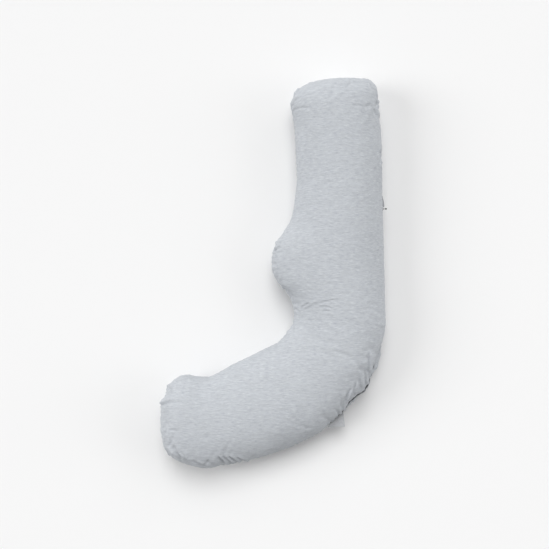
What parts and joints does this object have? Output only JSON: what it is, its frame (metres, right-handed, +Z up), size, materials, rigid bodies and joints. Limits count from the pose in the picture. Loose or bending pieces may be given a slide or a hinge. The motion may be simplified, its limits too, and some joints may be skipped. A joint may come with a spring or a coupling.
{
  "type": "nursing pillow",
  "caption": "Long J-shaped nursing and body pillow: zipped jersey cover over a zipped woven inner case with loose bead fill.",
  "frame": {"origin": "centre of the bottom of the bounding box, on the surface the pillow lies on", "axes": "+Z up from the surface; the long arm runs along Y with its free end at +Y; the short arm hooks round to -X at the -Y end; the zip and pull are on the +X side"},
  "size_m": [0.7218, 1.2422, 0.173],
  "materials": {
    "jersey": "light grey heather cotton jersey, matt, fine slub",
    "case_cotton": "unbleached plain-weave cotton",
    "beads": "loose expanded beads, matt white",
    "zip_tape": "black woven polyester tape",
    "zip_coil": "black polyester coil, satin",
    "zip_metal": "black lacquered zinc, satin",
    "pull_moulding": "black moulded plastic over a metal eye",
    "label": "light grey woven label, blank",
    "inner_zip_tape": "white woven polyester tape",
    "inner_zip_coil": "white polyester coil",
    "inner_zip_slider": "white lacquered zinc"
  },
  "bodies": {
    "pillow": {"cover_top_panel": "jersey", "cover_bottom_panel": "jersey", "inner_case_top": "case_cotton", "inner_case_bottom": "case_cotton", "bead_fill": "beads", "zip_tape_upper": "zip_tape", "zip_tape_lower": "zip_tape", "zip_coil_upper": "zip_coil", "zip_coil_lower": "zip_coil", "zip_top_stop_upper": "zip_metal", "zip_top_stop_lower": "zip_metal", "zip_bottom_stop": "zip_metal", "zip_garage": "jersey", "inner_zip_tape_upper": "inner_zip_tape", "inner_zip_tape_lower": "inner_zip_tape", "inner_zip_coil_upper": "inner_zip_coil", "inner_zip_coil_lower": "inner_zip_coil"},
    "slider": {"zip_slider": "zip_metal"},
    "pull": {"zip_pull": "pull_moulding"},
    "label": {"care_label": "label"},
    "inner_slider": {"inner_zip_slider": "inner_zip_slider"}
  },
  "joints": [
    {"name": "zip_slide", "type": "slide", "parent": "pillow", "child": "slider", "axis": [0.0299, -0.9996, 0], "range_m": [0, 0.35]},
    {"name": "pull_swing", "type": "hinge", "parent": "slider", "child": "pull", "pos_m": [0.34832, 0.20518, 0.08], "axis": [0, 0, 1], "range_deg": [-80, 38]},
    {"name": "care_label_flap", "type": "hinge", "parent": "pillow", "child": "label", "pos_m": [0.19883, -0.46396, 0.0752], "axis": [-0.7366, -0.6763, 0], "range_deg": [-60, 60], "stiffness_Nm_per_rad": 0.003},
    {"name": "inner_zip_slide", "type": "slide", "parent": "pillow", "child": "inner_slider", "axis": [0.0425, -0.9991, 0], "range_m": [0, 0.13]}
  ]
}
